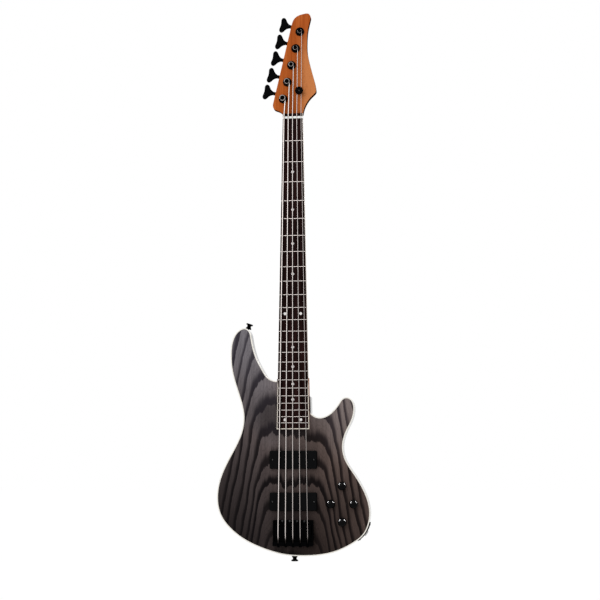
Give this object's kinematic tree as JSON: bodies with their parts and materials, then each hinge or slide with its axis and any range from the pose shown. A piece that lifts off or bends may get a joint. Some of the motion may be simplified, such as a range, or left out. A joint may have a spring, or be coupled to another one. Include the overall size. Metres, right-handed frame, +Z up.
{
  "type": "electric bass guitar",
  "caption": "Solid-body electric bass guitar with a bolt-on neck, bound fretboard, open worm-gear tuners, block saddles, bar pickups and domed control knobs.",
  "frame": {"origin": "on the centre line at the nut's front edge, in the plane between fretboard and neck", "axes": "+X to the treble side, +Y to the back, +Z up the neck towards the headstock"},
  "size_m": [0.3297, 0.0558, 1.2012],
  "materials": {
    "core_wood": "satin dark stain",
    "ash_top": "satin charcoal stain with black grain",
    "cream_binding": "satin",
    "roasted_maple": "satin",
    "dark_board": "oiled",
    "fret_steel": "polished",
    "pearl_dot": "pearl",
    "white_nut": "polished",
    "rod_steel": "plain",
    "string_steel": "roundwound",
    "black_hardware": "gloss black plating",
    "black_screws": "black oxide",
    "gear_brass": "machined",
    "pickup_shell": "satin",
    "coil_resin": "potted",
    "bare_steel": "plated",
    "circuit_board": "lacquered",
    "battery_case": "printed",
    "cover_plastic": "textured"
  },
  "bodies": {
    "instrument": {"body_core": "core_wood", "body_top": "ash_top", "body_binding": "cream_binding", "neck": "roasted_maple", "fretboard": "dark_board", "fretboard_binding": "cream_binding", "frets": "fret_steel", "fret_dots": "pearl_dot", "nut": "white_nut", "truss_rod": "rod_steel", "string_retainer": "black_hardware", "tuner_plates": "black_hardware", "tuner_bushings": "black_hardware", "bridge_plate": "black_hardware", "bridge_screws": "black_screws", "intonation_screws": "black_screws", "pots": "bare_steel", "pot_nuts": "bare_steel", "preamp_board": "circuit_board", "battery": "battery_case", "control_cover": "cover_plastic", "jack_plate": "black_hardware", "output_jack": "bare_steel", "strap_buttons": "black_hardware", "strap_button_screws": "black_screws", "neck_bolts": "black_screws", "small_screws": "black_screws", "string_1": "string_steel", "string_2": "string_steel", "string_3": "string_steel", "string_4": "string_steel", "string_5": "string_steel"},
    "tuner_1_shaft": {"tuner_key_1": "black_hardware"},
    "tuner_1_wheel": {"string_post_1": "black_hardware", "tuner_gear_1": "gear_brass"},
    "tuner_2_shaft": {"tuner_key_2": "black_hardware"},
    "tuner_2_wheel": {"string_post_2": "black_hardware", "tuner_gear_2": "gear_brass"},
    "tuner_3_shaft": {"tuner_key_3": "black_hardware"},
    "tuner_3_wheel": {"string_post_3": "black_hardware", "tuner_gear_3": "gear_brass"},
    "tuner_4_shaft": {"tuner_key_4": "black_hardware"},
    "tuner_4_wheel": {"string_post_4": "black_hardware", "tuner_gear_4": "gear_brass"},
    "tuner_5_shaft": {"tuner_key_5": "black_hardware"},
    "tuner_5_wheel": {"string_post_5": "black_hardware", "tuner_gear_5": "gear_brass"},
    "saddle_1_slider": {"saddle_1": "black_hardware"},
    "saddle_2_slider": {"saddle_2": "black_hardware"},
    "saddle_3_slider": {"saddle_3": "black_hardware"},
    "saddle_4_slider": {"saddle_4": "black_hardware"},
    "saddle_5_slider": {"saddle_5": "black_hardware"},
    "control_1": {"knob_1": "black_hardware"},
    "control_2": {"knob_2": "black_hardware"},
    "control_3": {"knob_3": "black_hardware"},
    "control_4": {"knob_4": "black_hardware"},
    "neck_pickup": {"neck_pickup_cover": "pickup_shell", "neck_pickup_coils": "coil_resin"},
    "bridge_pickup": {"bridge_pickup_cover": "pickup_shell", "bridge_pickup_coils": "coil_resin"}
  },
  "joints": [
    {"name": "key_1_turn", "type": "hinge", "parent": "instrument", "child": "tuner_1_shaft", "pos_m": [0.01809, 0.0239, 0.21092], "axis": [-0.9711, 0, 0.2385], "continuous": true},
    {"name": "post_1_turn", "type": "hinge", "parent": "instrument", "child": "tuner_1_wheel", "pos_m": [0.01511, 0, 0.19879], "axis": [0, 1, 0], "continuous": true},
    {"name": "key_2_turn", "type": "hinge", "parent": "instrument", "child": "tuner_2_shaft", "pos_m": [0.00876, 0.0239, 0.17295], "axis": [-0.9711, 0, 0.2385], "continuous": true},
    {"name": "post_2_turn", "type": "hinge", "parent": "instrument", "child": "tuner_2_wheel", "pos_m": [0.00578, 0, 0.16081], "axis": [0, 1, 0], "continuous": true},
    {"name": "key_3_turn", "type": "hinge", "parent": "instrument", "child": "tuner_3_shaft", "pos_m": [-0.00056, 0.0239, 0.13498], "axis": [-0.9711, 0, 0.2385], "continuous": true},
    {"name": "post_3_turn", "type": "hinge", "parent": "instrument", "child": "tuner_3_wheel", "pos_m": [-0.00355, 0, 0.12284], "axis": [0, 1, 0], "continuous": true},
    {"name": "key_4_turn", "type": "hinge", "parent": "instrument", "child": "tuner_4_shaft", "pos_m": [-0.00989, 0.0239, 0.09701], "axis": [-0.9711, 0, 0.2385], "continuous": true},
    {"name": "post_4_turn", "type": "hinge", "parent": "instrument", "child": "tuner_4_wheel", "pos_m": [-0.01287, 0, 0.08487], "axis": [0, 1, 0], "continuous": true},
    {"name": "key_5_turn", "type": "hinge", "parent": "instrument", "child": "tuner_5_shaft", "pos_m": [-0.01922, 0.0239, 0.05904], "axis": [-0.9711, 0, 0.2385], "continuous": true},
    {"name": "post_5_turn", "type": "hinge", "parent": "instrument", "child": "tuner_5_wheel", "pos_m": [-0.0222, 0, 0.0469], "axis": [0, 1, 0], "continuous": true},
    {"name": "saddle_1_intonation", "type": "slide", "parent": "instrument", "child": "saddle_1_slider", "axis": [0, 0, 1], "range_m": [-0.004, 0.004]},
    {"name": "saddle_2_intonation", "type": "slide", "parent": "instrument", "child": "saddle_2_slider", "axis": [0, 0, 1], "range_m": [-0.004, 0.004]},
    {"name": "saddle_3_intonation", "type": "slide", "parent": "instrument", "child": "saddle_3_slider", "axis": [0, 0, 1], "range_m": [-0.004, 0.004]},
    {"name": "saddle_4_intonation", "type": "slide", "parent": "instrument", "child": "saddle_4_slider", "axis": [0, 0, 1], "range_m": [-0.004, 0.004]},
    {"name": "saddle_5_intonation", "type": "slide", "parent": "instrument", "child": "saddle_5_slider", "axis": [0, 0, 1], "range_m": [-0.004, 0.004]},
    {"name": "knob_1_turn", "type": "hinge", "parent": "instrument", "child": "control_1", "pos_m": [0.10481, 0, -0.80093], "axis": [0, -1, 0], "range_deg": [-150, 150]},
    {"name": "knob_2_turn", "type": "hinge", "parent": "instrument", "child": "control_2", "pos_m": [0.08051, 0, -0.83893], "axis": [0, -1, 0], "range_deg": [-150, 150]},
    {"name": "knob_3_turn", "type": "hinge", "parent": "instrument", "child": "control_3", "pos_m": [0.12911, 0, -0.83893], "axis": [0, -1, 0], "range_deg": [-150, 150]},
    {"name": "knob_4_turn", "type": "hinge", "parent": "instrument", "child": "control_4", "pos_m": [0.10481, 0, -0.87693], "axis": [0, -1, 0], "range_deg": [-150, 150]},
    {"name": "neck_pickup_height", "type": "slide", "parent": "instrument", "child": "neck_pickup", "axis": [0, -1, 0], "range_m": [-0.002, 0.002]},
    {"name": "bridge_pickup_height", "type": "slide", "parent": "instrument", "child": "bridge_pickup", "axis": [0, -1, 0], "range_m": [-0.002, 0.002]}
  ],
  "couplings": [
    {"joint": "post_1_turn", "follows": "key_1_turn", "ratio": 0.05},
    {"joint": "post_2_turn", "follows": "key_2_turn", "ratio": 0.05},
    {"joint": "post_3_turn", "follows": "key_3_turn", "ratio": 0.05},
    {"joint": "post_4_turn", "follows": "key_4_turn", "ratio": 0.05},
    {"joint": "post_5_turn", "follows": "key_5_turn", "ratio": 0.05}
  ]
}
